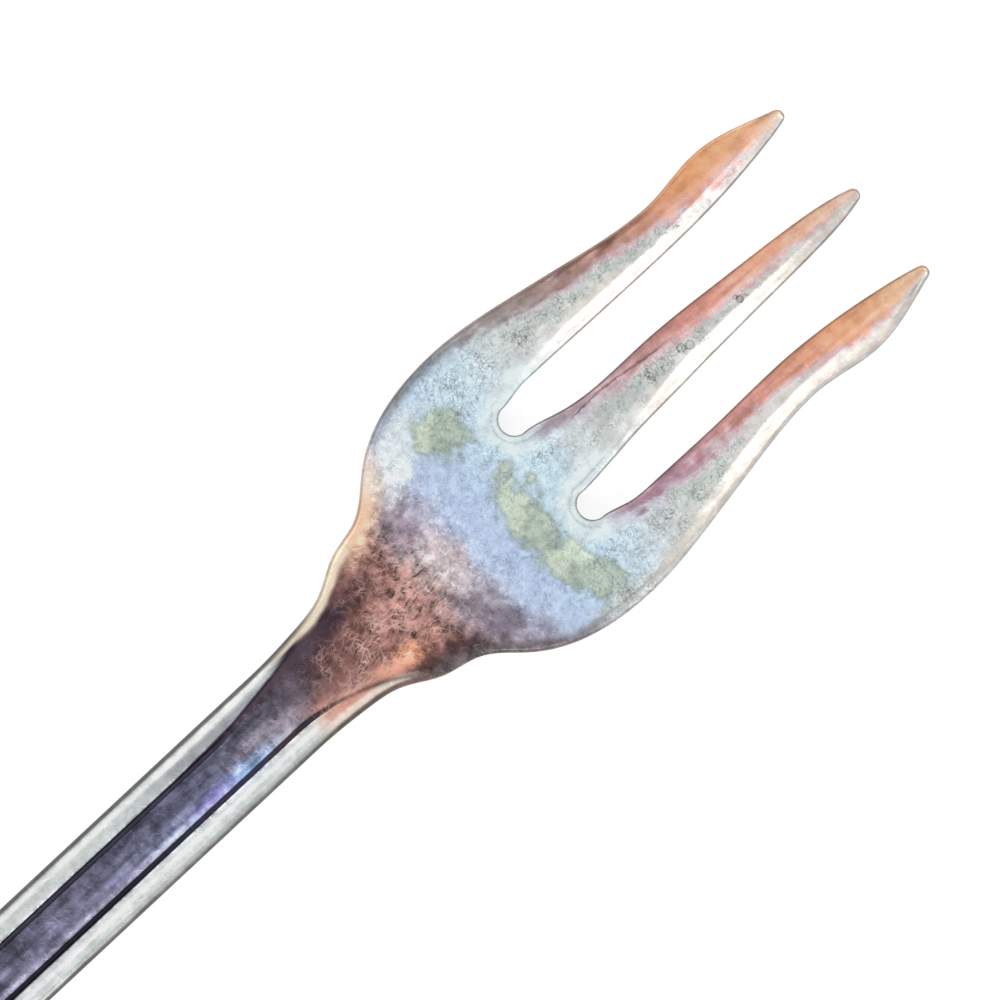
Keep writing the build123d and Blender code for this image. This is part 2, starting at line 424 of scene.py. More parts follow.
# the strips share their columns below the slot roots
for a, b in ((0, 1), (1, 2)):
    ids[b][:n_low, 0] = ids[a][:n_low, -1]
quads = []
for block in ids:
    a, b, c, d = block[:-1, :-1], block[:-1, 1:], block[1:, 1:], block[1:, :-1]
    front_quads = np.stack([a, b, c, d], -1).reshape(-1, 4)
    quads += [front_quads, front_quads[:, ::-1] + n_side]
left_ids, middle_ids, right_ids = ids
walls = [(left_ids[:, 0], 1), (right_ids[:, -1], -1)]
walls += [(left_ids[n_low - 1 :, -1], -1), (middle_ids[n_low - 1 :, 0], 1)]
walls += [(middle_ids[n_low - 1 :, -1], -1), (right_ids[n_low - 1 :, 0], 1)]
for line, way in walls:
    a, b = line[:-1], line[1:]
    quads.append(np.stack([a, b, b + n_side, a + n_side], -1)[:, ::way])
quads = np.concatenate(quads)

# Toning, with painted highlights, painted shade and painted reflections, laid in soft zones. From here on,
# places and widths on the fork are in the photograph's pixels: s runs up the fork from the middle of the
# picture, v and vc run across it, and px, py are the picture's own.
px_per_mm = 17.1
picture_middle, tips_s, axis_v = 500, 474, 8.5
turn_cos, turn_sin = 0.7314, 0.6820

s = tips_s - (half_length - all_y) * px_per_mm
v = bent * px_per_mm + axis_v
px = picture_middle + s * turn_cos + v * turn_sin
py = picture_middle - s * turn_sin + v * turn_cos
groove_at = np.maximum(np.interp(all_y, groove_points[:, 1], groove_points[:, 0]), groove_x)
vc = all_x * px_per_mm * np.where(all_y < neck_y, groove_x / groove_at, 1)
left_half, right_half = vc < 0, vc >= 0
toning_and_light = np.zeros((n_side, 3))


def rgb(r, g, b):
    """The linear colour of an sRGB one."""
    c = np.array([r, g, b]) / 255
    return np.where(c <= 0.04045, c / 12.92, ((c + 0.055) / 1.055) ** 2.4)


def noise(x, y, cell, seed):
    """Smooth value noise from 0 to 1 with the given cell size, the same on every run."""
    rng = np.random.default_rng(seed)
    grid = rng.random((256, 256))
    u, v = x / cell + 100, y / cell + 100
    i, j = np.floor(u).astype(int), np.floor(v).astype(int)
    fu, fv = u - i, v - j
    fu, fv = fu * fu * (3 - 2 * fu), fv * fv * (3 - 2 * fv)

    def g(a, b):
        return grid[a % 256, b % 256]

    low = g(i, j) * (1 - fu) + g(i + 1, j) * fu
    high = g(i, j + 1) * (1 - fu) + g(i + 1, j + 1) * fu
    return low * (1 - fv) + high * fv


def fractal(x, y, cell, seed, octaves=4):
    total = sum(noise(x, y, cell / 2**k, seed + k) / 2**k for k in range(octaves))
    return total / sum(0.5**k for k in range(octaves))


def paint(colour, mask):
    """Lays an sRGB colour, or a linear one for each point, over the toning and painted light where the mask
    says.
    """
    laid = rgb(*colour) if isinstance(colour, tuple) else colour
    toning_and_light[:] = toning_and_light * (1 - mask[:, None]) + laid * mask[:, None]


def blob(cx, cy, rx, ry, angle=0, soft=0.45, rough=0.35, seed=1):
    """A soft oval spot with a ragged rim, centred at a place in the photograph's frame."""
    a = math.radians(angle)
    dx, dy = px - cx, py - cy
    u, w = dx * math.cos(a) + dy * math.sin(a), -dx * math.sin(a) + dy * math.cos(a)
    r = np.sqrt((u / rx) ** 2 + (w / ry) ** 2) + rough * (fractal(px, py, 14, seed) - 0.5) * 2
    return fall(1 - soft, 1 + soft, r)


def paint_spots(spots):
    """Paints each spot: its colour, its strength, and what blob() takes."""
    for colour, strength, shape in spots.values():
        paint(colour, blob(*shape) * strength)


wob = fractal(px, py, 22, 5) - 0.5
fine = fractal(px, py, 7, 9) - 0.5
streak = fractal(all_x * 3.2, all_y * 0.45, 1.0, 88) - 0.5
edge_px = data["edge"] * px_per_mm
bead_px = data["outer"] * px_per_mm
groove_px = data["groove"] * px_per_mm
slot_px = distance(slot_tree, all_x, all_y) * px_per_mm
outer_px = bead_px + wob * 2

# the panel of the stem, the neck and the head, from the handle to the roots of the tines, by s
panel_colours = (
    (-2100, (150, 146, 156)),
    (-1500, (130, 126, 142)),
    (-900, (108, 106, 126)),
    (-640, (119, 118, 142)),
    (-560, (114, 113, 136)),
    (-420, (112, 114, 141)),
    (-340, (126, 124, 140)),
    (-290, (112, 102, 114)),
    (-255, (84, 68, 78)),
    (-215, (96, 74, 78)),
    (-180, (124, 88, 83)),
    (-130, (168, 124, 116)),
    (-95, (178, 162, 170)),
    (-60, (190, 192, 214)),
    (-20, (188, 207, 232)),
    (40, (202, 225, 240)),
    (120, (201, 217, 224)),
    (474, (205, 200, 198)),
)
panel_s = [at_s for at_s, _ in panel_colours]
panel_rgb = np.array([rgb(*colour) for _, colour in panel_colours])
toning_and_light[:] = np.stack([np.interp(s, panel_s, panel_rgb[:, k]) for k in range(3)], 1)
base_tone = toning_and_light.copy()

# the stem: its panel painted lighter towards the right groove, with a painted highlight line beside that
# groove, and darker on the left, as painted light and shade across its face; the glints are painted
# highlights
stem = fall(-340, -290, s)
paint((150, 152, 188), smooth(-4, 12, vc + wob * 8) * smooth(-700, -430, s) * stem * 0.7)
paint((208, 206, 232), smooth(8, 20, vc + wob * 8) * smooth(-1500, -500, s + wob * 400) * stem * 0.75)
paint((226, 228, 240), band(14, 19, 1.5, vc + wob * 3) * smooth(-480, -360, s) * stem * 0.8)
paint((74, 72, 90), fall(-18, 4, vc + wob * 10) * fall(-300, -260, s) * 0.55)
stem_spots = {
    "violet glint": ((146, 142, 214), 0.75, (226, 789, 46, 8, -43, 0.7, 0.4, 4)),
    "blue glint": ((170, 204, 255), 1.0, (253, 764, 27, 10, -43, 0.6, 0.5, 3)),
    "lower glint": ((196, 208, 242), 0.85, (183, 834, 26, 8, -43, 0.7, 0.4, 5)),
    "grey above the glint": ((186, 172, 182), 0.6, (270, 735, 36, 10, -43, 0.8, 0.5, 6)),
    "rose beside the grey": ((214, 170, 164), 0.8, (302, 742, 30, 8, -43, 0.7, 0.5, 7)),
}
paint_spots(stem_spots)

# the neck and the head; the bright warm spot at the right edge of the neck is a painted highlight
paint((172, 128, 120), smooth(0, 24, vc + wob * 20) * band(-285, -190, 18, s) * 0.85)
head_spots = {
    "rust": ((146, 104, 97), 0.8, (378, 626, 70, 36, -50, 0.7, 0.5, 11)),
    "rose on the rust": ((216, 166, 157), 0.6, (420, 585, 56, 24, -50, 0.7, 0.7, 10)),
    "dark left of the neck": ((66, 51, 62), 0.9, (314, 634, 74, 15, -45, 0.6, 0.4, 12)),
    "dark right of the heel": ((74, 58, 63), 0.85, (462, 655, 46, 16, -30, 0.6, 0.6, 13)),
    "orange": ((255, 176, 140), 0.95, (402, 660, 26, 10, -38, 0.75, 0.5, 14)),
    "salmon beside the groove": ((240, 186, 168), 0.95, (340, 708, 64, 9, -38, 0.7, 0.4, 15)),
    "pale mist": ((214, 208, 212), 0.75, (446, 566, 54, 26, 47, 0.7, 0.9, 16)),
    "violet mist": ((126, 115, 130), 0.8, (500, 616, 46, 19, 20, 0.7, 0.9, 17)),
    "violet at the left": ((152, 138, 154), 0.8, (398, 524, 36, 13, 60, 0.6, 0.9, 18)),
    "blue": ((192, 211, 240), 0.85, (500, 545, 112, 27, 44, 0.5, 0.45, 19)),
    "white at the left": ((244, 252, 255), 0.95, (395, 456, 17, 44, 8, 0.6, 0.5, 20)),
    "pale blue at the left slot": ((206, 224, 232), 0.7, (455, 392, 76, 28, -45, 0.7, 0.5, 21)),
    "pale blue at the right slot": ((212, 228, 240), 0.6, (655, 560, 50, 30, -45, 0.7, 0.5, 22)),
}
paint_spots(head_spots)

# green blotches, in turn pale and dark, with a darker rim: the place, the radii, the angle and the seed
blotches = (
    (433, 434, 18, 19, 20, 31),
    (452, 429, 15, 18, 0, 36),
    (522, 510, 36, 19, 57, 32),
    (541, 531, 21, 14, 57, 37),
    (572, 560, 24, 18, 20, 33),
    (602, 582, 24, 16, 20, 38),
)
for k, (cx, cy, rx, ry, angle, seed) in enumerate(blotches):
    green = blob(cx, cy, rx * 1.1, ry * 1.1, angle, 0.35, 0.9, seed)
    paint(((208, 220, 200), (184, 198, 184))[k % 2], green * 0.92)
    paint((136, 150, 140), green * (1 - green) * 2.0)

# the edges of the heel and the neck: the pale peach, cream and white bands along them are painted highlights
# on their rounded rims, and the dark bands painted shade
paint((255, 214, 184), fall(12, 32, outer_px + wob * 16) * left_half * band(-150, -80, 16, s) * 0.95)
paint((255, 236, 210), fall(8, 14, outer_px + wob * 4) * left_half * band(-240, -140, 14, s))
paint((250, 236, 222), fall(8, 24, outer_px + wob * 14) * left_half * band(-95, -62, 12, s) * 0.8)
paint((104, 97, 94), fall(4, 15, outer_px + wob * 6) * left_half * band(-40, 190, 30, s) * 0.75)
paint((112, 104, 106), fall(6, 16, outer_px + wob * 10) * right_half * band(-175, 0, 18, s) * 0.85)
paint((212, 212, 208), fall(8, 26, outer_px + wob * 14) * right_half * band(-10, 150, 22, s) * 0.75)
paint((150, 148, 144), band(8, 11, 1.2, outer_px + wob * 6) * right_half * band(-40, 120, 22, s) * 0.6)

# The tines: a toned slope on the left, a stippled band, and on the right a slope painted pale as a highlight.
# The tables hold, for the left, the middle and the right tine, the place across or the colour at each of
# these shares of the way up.
slope_at_shares = [0, 0.1, 0.25, 0.5, 0.75, 0.9, 1]
left_end_shares = {
    -1: [0.12, 0.2, 0.34, 0.44, 0.74, 0.78, 0.74],
    0: [0.14, 0.33, 0.28, 0.5, 0.54, 0.56, 0.56],
    1: [0.14, 0.27, 0.35, 0.45, 0.64, 0.76, 0.66],
}
right_start_shares = {
    -1: [0.9, 0.78, 0.62, 0.68, 0.86, 0.84, 0.8],
    0: [0.88, 0.76, 0.7, 0.66, 0.62, 0.62, 0.62],
    1: [0.92, 0.8, 0.68, 0.57, 0.7, 0.8, 0.7],
}
edge_colours = {
    -1: [(146, 140, 142), (160, 154, 152), (170, 152, 146), (204, 150, 132)]
    + [(254, 180, 126), (255, 190, 148), (244, 200, 172)],
    0: [(190, 184, 200), (186, 168, 180), (196, 164, 168), (226, 156, 146)]
    + [(255, 184, 150), (255, 206, 176), (248, 214, 198)],
    1: [(184, 156, 176), (172, 134, 148), (178, 136, 146), (226, 158, 144)]
    + [(255, 182, 142), (255, 200, 160), (248, 210, 178)],
}
inner_colours = {
    -1: [(200, 214, 230), (192, 188, 200), (198, 186, 192), (224, 184, 178)]
    + [(254, 190, 166), (255, 206, 182), (244, 212, 192)],
    0: [(206, 216, 234), (212, 212, 226), (218, 190, 196), (242, 192, 178)]
    + [(255, 204, 184), (255, 212, 192), (250, 220, 204)],
    1: [(212, 212, 228), (208, 204, 222), (214, 190, 202), (248, 196, 180)]
    + [(250, 188, 158), (255, 204, 174), (252, 224, 202)],
}
t_in = smooth(-0.03, 0.10, data["t"])
tine_t = np.clip(data["t"], 0, 1)
share = way_across(all_x, all_y, all_tine) + fine * 0.3 + wob * 0.06 + streak * 0.16


def up_tine(values):
    return np.interp(tine_t, slope_at_shares, values)


def colour_up_tine(colours):
    c = np.array([rgb(*colour) for colour in colours])
    return np.stack([up_tine(c[:, k]) for k in range(3)], 1)


left_end = by_tine(all_tine, *[up_tine(left_end_shares[tine]) for tine in (-1, 0, 1)])
right_start = by_tine(all_tine, *[up_tine(right_start_shares[tine]) for tine in (-1, 0, 1)])
left_mask = fall(-0.16, 0.08, share - left_end) * t_in
highlight_slope_mask = smooth(-0.1, 0.08, share - right_start) * t_in
band_end = by_tine(all_tine, 0.7, 0.74, 0.44)
band_left = fall(-0.12, 0.1, tine_t - band_end + fine * 0.3)
centre_band = t_in * (1 - left_mask) * (1 - highlight_slope_mask) * smooth(0.0, 0.25, tine_t)
paint((238, 232, 230), centre_band * 0.9)
paint((196, 204, 200), centre_band * band_left * 0.9)
near_side = fall(0.3, 0.95, share / left_end + streak * 0.5)
edge_shade = fall(2, 7, edge_px + streak * 16) * smooth(0.02, 0.2, tine_t)
edge_shade = edge_shade * (0.4 - 0.25 * smooth(0.4, 0.7, tine_t))
for tine in (-1, 0, 1):
    slope = (all_tine == tine) * left_mask
    paint(colour_up_tine(inner_colours[tine]), slope)
    paint(colour_up_tine(edge_colours[tine]), slope * near_side * 0.92)
    paint(colour_up_tine(edge_colours[tine]) * 0.7, slope * edge_shade)
crest = band(-0.13, 0.02, 0.05, share - left_end) * t_in
paint((216, 184, 202), crest * smooth(0.15, 0.35, tine_t) * fall(0.88, 0.97, tine_t) * 0.35)
# the right slopes, painted pale as a highlight: streaked, warmer towards the rim, pale blue low down on the
# slot side, with a broken grey line
paint((228, 223, 215), highlight_slope_mask * 0.97)
toning_and_light[:] = toning_and_light * (1 + highlight_slope_mask * streak * 0.5)[:, None]
facing_out = smooth(0, 2, slot_px - edge_px)
warm_rim = fall(4, 15, edge_px + streak * 12) * (0.35 + 0.35 * facing_out)
paint((222, 209, 199), highlight_slope_mask * warm_rim * smooth(0.1, 0.35, tine_t))
paint((236, 243, 245), highlight_slope_mask * fall(0.12, 0.35, tine_t) * (1 - facing_out) * 0.8)
broken_line = band(5, 7.5, 1.0, edge_px + wob * 4) * smooth(-0.1, 0.1, streak)
paint((182, 174, 168), highlight_slope_mask * broken_line * (0.35 + 0.45 * facing_out))
toning_and_light[:] = toning_and_light * (1 + left_mask * streak * 0.6)[:, None]
# along the outer edge of the left tine, a dark rim and a fainter line inside it, painted shade
outmost = (all_tine == -1) * facing_out * band(60, 300, 30, s)
dark_rim = band(2, 8, 2.5, edge_px + streak * 14) * (0.3 + 0.4 * smooth(150, 220, s))
paint((96, 70, 66), dark_rim * outmost)
paint((132, 104, 100), band(13, 17, 2, edge_px + streak * 20) * outmost * 0.3)

# pale collars of the slot roots, painted reflections of their rounded rims, with a darker painted line at the
# rim
root = fall(12, 28, slot_px + fine * 10) * band(18, 110, 14, s)
paint((238, 252, 255), root * 0.9 * (1 - left_mask))
paint((172, 156, 142), fall(2, 5, slot_px + fine * 4) * band(8, 36, 10, s) * 0.6)

# thread beads, bevels, grooves and rims. The white and cream lines on the beads and the bevels are painted
# highlights, the grey bands on the beads painted shade, and the dark line at the neck's right edge a painted
# dark reflection of its rim.
bead_on = fall(-300, -258, s)
bead_width = np.interp(s, [-430, -350, -300, -262, -225], [24.5, 21.5, 15.0, 10.5, 9.0])
glint_from = np.interp(s, [-360, -262], [6.5, 3.5])
bead_grey = band(13, 24, 3, bead_px) * fall(bead_width - 1, bead_width + 1, bead_px)
paint((216, 222, 222), band(4, bead_width, 1.2, bead_px) * bead_on * left_half * 0.97)
paint((150, 152, 160), bead_grey * band(-450, -290, 40, s) * left_half * 0.7)
paint((255, 255, 255), band(glint_from, glint_from + 5, 1.2, outer_px) * bead_on * left_half * 0.95)
paint((225, 232, 231), band(3, 24.5, 1.2, bead_px) * bead_on * right_half * 0.97)
paint((176, 178, 172), band(3, 8, 1.5, bead_px) * bead_on * right_half * 0.7)
paint((255, 255, 255), band(14, 19, 1.2, outer_px) * bead_on * right_half * 0.95)
panel_side = smooth(bead_width + 0.5, bead_width + 2.5, bead_px) * fall(27, 32, bead_px + wob * 3)
panel_line = band(bead_width + 0.8, bead_width + 3.4, 1.0, bead_px)
paint((90, 76, 86), panel_side * band(-420, -225, 20, s) * left_half * 0.85)
paint((50, 44, 56), panel_line * band(-425, -240, 16, s) * left_half * 0.85)
bevel = band(2.0, 8, 1.2, bead_px) * smooth(-290, -262, s) * fall(-215, -165, s)
paint((244, 230, 206), bevel * left_half * 0.9)
thread_end = smooth(-300, -268, s) * fall(-205, -165, s) * right_half
paint((222, 160, 142), band(13, 21, 2, bead_px) * thread_end * 0.55)
paint((250, 234, 220), band(5.5, 12, 1.5, outer_px) * thread_end * 0.95)
paint((98, 90, 84), fall(3, 6, outer_px) * thread_end * 0.8)
drawn_out = stem * smooth(25, 28, bead_px) * smooth(-1300, -750, s)
toning_and_light[:] = toning_and_light * (1 + drawn_out * streak * 1.4)[:, None]
dark_line = np.clip(data["line"] * 1.3, 0, 1)
paint((52, 48, 58), dark_line * np.where(left_half, 0.8, 0.97))
wide_line = np.exp(-((groove_px / np.interp(s, [-620, -440], [4.2, 3.0])) ** 4)) * fall(-560, -400, s)
paint((40, 36, 46), wide_line * right_half * 0.9)
fading_line = np.exp(-((groove_px / 2.6) ** 2)) * band(-285, -170, 30, s)
paint((74, 54, 58), fading_line * right_half * 0.75)
# dark outlines along the rims of the stem, the neck, the head and the tines, grey-blue ones on the right
# slopes: painted dark reflections of the rounded edges
stem_rim = fall(-250, -180, s)
paint((118, 118, 112), fall(3.5, 6.0, edge_px + wob * 2) * stem_rim * np.where(left_half, 0.9, 0.6))
paint((80, 78, 72), fall(1.0, 2.4, edge_px) * stem_rim * 0.7)
paint((92, 90, 80), fall(2.2, 3.8, edge_px + wob * 3) * stem_rim * right_half * 0.75)
paint((132, 118, 108), fall(1.0, 2.8, edge_px) * (1 - stem_rim) * (1 - highlight_slope_mask) * 0.65)
right_rim = 0.25 + 0.5 * np.maximum(facing_out, smooth(0.6, 0.8, tine_t))
paint((140, 146, 150), fall(1.2, 3.0, edge_px + wob) * highlight_slope_mask * right_rim)
# a thin grey line within the pale collars of the slot roots, part of their painted reflection
paint((150, 158, 166), band(6.5, 8.5, 0.8, slot_px) * root * 0.45)

# the back: worn silver that carries a little of the front's toning
back_tone = np.tile(rgb(196, 192, 192), (n_side, 1)) * (0.84 + 0.32 * fractal(all_x, all_y, 9, 77))[:, None]
warm = smooth(0.45, 0.75, fractal(all_x, all_y, 14, 78))[:, None]
back_tone = back_tone * (1 - 0.25 * warm) + rgb(206, 178, 150) * 0.25 * warm
back_tone = back_tone * 0.66 + base_tone * 0.34 * (0.8 + 0.4 * fractal(px, py, 40, 79))[:, None]
back_tone = back_tone * (1 - fall(0, 0.5, data["edge"])[:, None] * 0.3)
wear = band(slot_root_y - 6, slot_root_y + 9, 4, all_y) * smooth(1.5, 4, data["outer"])
back_tone = back_tone * (1 - wear[:, None] * 0.5) + rgb(214, 214, 212) * wear[:, None] * 0.5

# where the material has its scratches, stipple, mottle and crackle, and where the slopes painted as
# highlights are
scratched_neck = (392, 604, 100, 52, -50, 0.6, 0.5, 41)
scratched_palm = (440, 575, 60, 40, -40, 0.6, 0.4, 42)
smooth_dark = (318, 634, 74, 22, -45, 0.6, 0.4, 12)
scratch = np.clip(blob(*scratched_neck) + 0.7 * blob(*scratched_palm), 0, 1)
scratch = scratch * (1 - 0.75 * blob(*smooth_dark))
scratch = scratch * fall(-115, -65, s + wob * 40) * smooth(14, 24, outer_px)
calm = (1 - left_mask) * (1 - highlight_slope_mask) * (1 - 0.92 * root)
stipple = np.clip(smooth(-30, 50, s) * calm * np.where(tine_t > 0, band_left, 1), 0, 1)
stipple = stipple * (0.35 + 0.65 * smooth(0.35, 0.6, fractal(px, py, 30, 60)))
stem_mottle = 0.55 * fall(-280, -240, s) * (data["line"] < 0.5) * (bead_px > 23)
mottle = np.clip(band(-180, -50, 30, s) + stem_mottle + 0.25, 0, 1)
mottle = mottle * (0.5 + 0.5 * smooth(-1300, -750, s))
mottle = mottle * (1 - 0.8 * fall(10, 18, outer_px) * left_half * band(-290, -60, 20, s))
crackled = np.clip(band(-95, 110, 25, s) * calm, 0, 1)
marks = np.stack([scratch, stipple, mottle], 1)
more = np.stack([crackled, highlight_slope_mask, np.zeros(n_side)], 1)
back_marks = np.tile([0.12, 0.0, 0.35], (n_side, 1))
back_more = np.zeros((n_side, 3))

mesh = bpy.data.meshes.new("fork_silver")
mesh.from_pydata((points * MM).tolist(), [], quads.tolist())
mesh.validate()
mesh.update()
values = np.ones((2 * n_side, 4))
values[:, :3] = np.concatenate([toning_and_light, back_tone])
mesh.attributes.new("toning_and_light", "FLOAT_COLOR", "POINT").data.foreach_set("color", values.ravel())
for name, front, back in (("marks", marks, back_marks), ("more", more, back_more)):
    extra = mesh.attributes.new(name, "FLOAT_VECTOR", "POINT")
    extra.data.foreach_set("vector", np.concatenate([front, back]).ravel())

bm = bmesh.new()
bm.from_mesh(mesh)
bmesh.ops.remove_doubles(bm, verts=bm.verts, dist=2e-7)
bmesh.ops.dissolve_degenerate(bm, dist=1e-7, edges=bm.edges)
loose = [vert for vert in bm.verts if not vert.link_faces]
bmesh.ops.delete(bm, geom=loose, context="VERTS")
bmesh.ops.recalc_face_normals(bm, faces=bm.faces)
bm.to_mesh(mesh)
print("open edges", sum(1 for e in bm.edges if len(e.link_faces) != 2), "faces", len(bm.faces))
bm.free()
mesh.polygons.foreach_set("use_smooth", [True] * len(mesh.polygons))

fork = bpy.data.objects.new("fork_silver", mesh)
scene.collection.objects.link(fork)


class Nodes:
    """Short calls for building a node tree."""

    def __init__(self, tree):
        self.tree = tree
        self.tree.nodes.clear()

    def node(self, kind, **settings):
        made = self.tree.nodes.new(kind)
        for key, value in settings.items():
            setattr(made, key, value)
        return made

    def put(self, socket, value):
        if hasattr(value, "is_output"):
            self.tree.links.new(value, socket)
        else:
            socket.default_value = value

    def parts(self, vector):
        made = self.node("ShaderNodeSeparateXYZ")
        self.put(made.inputs[0], vector)
        return made.outputs

    def math(self, operation, a, b=0.0, clamp=False):
        made = self.node("ShaderNodeMath", operation=operation, use_clamp=clamp)
        self.put(made.inputs[0], a)
        self.put(made.inputs[1], b)
        return made.outputs[0]

    def all_by(self, operation, first, *others):
        """One operation taken through all the values, from the first on."""
        total = first
        for value in others:
            total = self.math(operation, total, value)
        return total

    def times(self, *values):
        return self.all_by("MULTIPLY", *values)

    def plus(self, *values):
        return self.all_by("ADD", *values)

    def minus(self, *values):
        return self.all_by("SUBTRACT", *values)

    def largest(self, *values):
        return self.all_by("MAXIMUM", *values)

    def less(self, value, share):
        """One, less a share of the value."""
        return self.math("SUBTRACT", 1.0, self.times(value, share))

    def swing(self, value, amount):
        """A share of amount to either side of nothing, from a value between 0 and 1."""
        return self.times(self.minus(value, 0.5), amount)

    def ramp(self, value, low, high):
        made = self.node("ShaderNodeMapRange", interpolation_type="SMOOTHSTEP")
        self.put(made.inputs["Value"], value)
        made.inputs["From Min"].default_value = low
        made.inputs["From Max"].default_value = high
        return made.outputs["Result"]

    def noise(self, vector, scale, detail=2.0, roughness=0.5, distortion=0.0, output="Fac"):
        made = self.node("ShaderNodeTexNoise")
        self.put(made.inputs["Vector"], vector)
        made.inputs["Scale"].default_value = scale
        made.inputs["Detail"].default_value = detail
        made.inputs["Roughness"].default_value = roughness
        made.inputs["Distortion"].default_value = distortion
        return made.outputs[output]

    def mapped(self, vector, angle, scale, shift=(0, 0, 0)):
        made = self.node("ShaderNodeMapping", vector_type="TEXTURE")
        self.put(made.inputs["Vector"], vector)
        made.inputs["Rotation"].default_value = (0, 0, math.radians(angle))
        made.inputs["Scale"].default_value = scale
        made.inputs["Location"].default_value = shift
        return made.outputs["Vector"]

    def mix(self, factor, a, b, blend="MIX"):
        made = self.node("ShaderNodeMix", data_type="RGBA", blend_type=blend)
        self.put(made.inputs[0], factor)
        self.put(made.inputs[6], a)
        self.put(made.inputs[7], b)
        return made.outputs[2]

    def attribute(self, name, output):
        return self.node("ShaderNodeAttribute", attribute_name=name).outputs[output]

    def shaken(self, vector, scale, amount):
        """The vector moved about by a smooth noise, so that straight patterns on it turn winding."""
        push = self.node("ShaderNodeVectorMath", operation="MULTIPLY_ADD")
        self.put(push.inputs[0], self.noise(vector, scale, 1.0, output="Color"))
        push.inputs[1].default_value = (amount, amount, amount)
        self.put(push.inputs[2], vector)
        return push.outputs[0]

    def hairs(self, vector, angle, length, width, seed, low, high):
        """Thin scratches that run at about angle: stretched noise, cut off so that only its crests stay."""
        grid = self.mapped(vector, angle, (length, width, 1.0), (0.0013 * seed, 0.0007 * seed, 0))
        return self.ramp(self.noise(grid, 1.0, 1.0, 0.4), low, high)

    def veins(self, vector, scale, width, detail, distortion):
        """Thin winding lines: where a noise crosses its middle value."""
        off = self.math("ABSOLUTE", self.minus(self.noise(vector, scale, detail, 0.5, distortion), 0.5))
        return self.ramp(off, width, 0.0)

    def cells(self, vector, scale, width):
        """The borders of rounded cells."""
        grid = self.node("ShaderNodeTexVoronoi", feature="DISTANCE_TO_EDGE")
        self.put(grid.inputs["Vector"], vector)
        grid.inputs["Scale"].default_value = scale
        return self.ramp(grid.outputs["Distance"], width, 0.0)

    def seen_directly(self):
        """One for rays of the camera, of mirrors and of glass, and nothing for the light itself."""
        path = self.node("ShaderNodeLightPath")
        rays = ("Is Camera Ray", "Is Glossy Ray", "Is Transmission Ray")
        return self.largest(*[path.outputs[ray] for ray in rays])


def new_material(name):
    material = bpy.data.materials.new(name)
    material.use_nodes = True
    return material, Nodes(material.node_tree)


# toned silver: the painted toning and painted light, with scratches, stipple, mottle, crackle, pits and grain
# at a fine scale
silver, n = new_material("toned_silver")
place = n.node("ShaderNodeTexCoord").outputs["Object"]
toning_and_light_in = n.attribute("toning_and_light", "Color")
scratch_in, stipple_in, mottle_in = n.parts(n.attribute("marks", "Vector"))
crackle_in, highlight_slope_in, _ = n.parts(n.attribute("more", "Vector"))
plain = n.less(highlight_slope_in, 0.8)
blur_place = n.shaken(place, 500, 0.0006)
bent_place = n.shaken(place, 1100, 0.0007)
cell_place = n.shaken(place, 2600, 0.0005)

grain = n.noise(place, 7000, 3.0, 0.6)
cloud = n.noise(place, 1500, 6.0, 0.68)
patch = n.noise(place, 480, 3.0, 0.55)
smoke = n.ramp(n.noise(blur_place, 900, 5.0, 0.66), 0.36, 0.64)
lumps = n.ramp(n.noise(cell_place, 1900, 3.0, 0.55), 0.38, 0.62)
flecks = n.ramp(n.noise(place, 2700, 3.0, 0.62), 0.58, 0.66)
worms = n.veins(place, 1700, 0.045, 2.0, 0.8)
crackle = n.times(n.cells(cell_place, 2700, 0.13), n.ramp(n.noise(place, 900, 2.0), 0.42, 0.56))
rings = n.times(n.cells(cell_place, 3600, 0.2), n.ramp(n.noise(place, 1300, 2.0), 0.38, 0.52))
specks = n.ramp(n.noise(place, 3800, 2.0, 0.5), 0.60, 0.68)

# hairs: the angle in degrees, the length and the width in metres, the seed, and where the crests are cut off
crossed_hairs = (
    (28, 0.0011, 0.00014, 1, 0.55, 0.66),
    (75, 0.0009, 0.00013, 2, 0.57, 0.67),
    (112, 0.0010, 0.00014, 3, 0.56, 0.66),
    (150, 0.0007, 0.00012, 4, 0.57, 0.67),
)
pale_hairs = ((60, 0.0008, 0.00011, 7, 0.64, 0.72), (12, 0.0008, 0.00011, 8, 0.64, 0.72))
dark_hairs = ((95, 0.0011, 0.00014, 6, 0.53, 0.63),)
long_hairs = (86, 0.005, 0.00006, 5, 0.62, 0.76)


def hair_where(kinds, mask):
    """The crests of all the kinds of hairs, where the mask says."""
    return n.math("MULTIPLY", n.largest(*[n.hairs(bent_place, *kind) for kind in kinds]), mask, True)


crossed_hair = hair_where(crossed_hairs, scratch_in)
pale_hair = hair_where(pale_hairs, mottle_in)
dark_hair = hair_where(dark_hairs, scratch_in)
long_hair = n.hairs(bent_place, *long_hairs)

gain = n.plus(
    1.0,
    n.times(n.swing(cloud, 1.9), mottle_in),
    n.times(n.swing(cloud, 1.1), scratch_in),
    n.times(n.swing(smoke, 0.85), mottle_in, n.less(crackle_in, 0.8)),
    n.times(n.swing(lumps, 0.15), crackle_in),
    n.times(crackle_in, 0.12),
    n.times(stipple_in, 0.12),
    n.times(n.swing(patch, 0.22), plain),
    n.swing(grain, 0.24),
    n.times(flecks, mottle_in, 0.4),
    n.times(pale_hair, n.less(crackle_in, 0.75), 0.7),
    n.times(long_hair, 0.10),
)
gain = n.minus(
    gain,
    n.times(worms, crackle_in, 0.2),
    n.times(crackle, crackle_in, 0.17),
    n.times(rings, stipple_in, 0.44),
    n.times(specks, stipple_in, 0.38),
    n.times(dark_hair, 0.5),
)

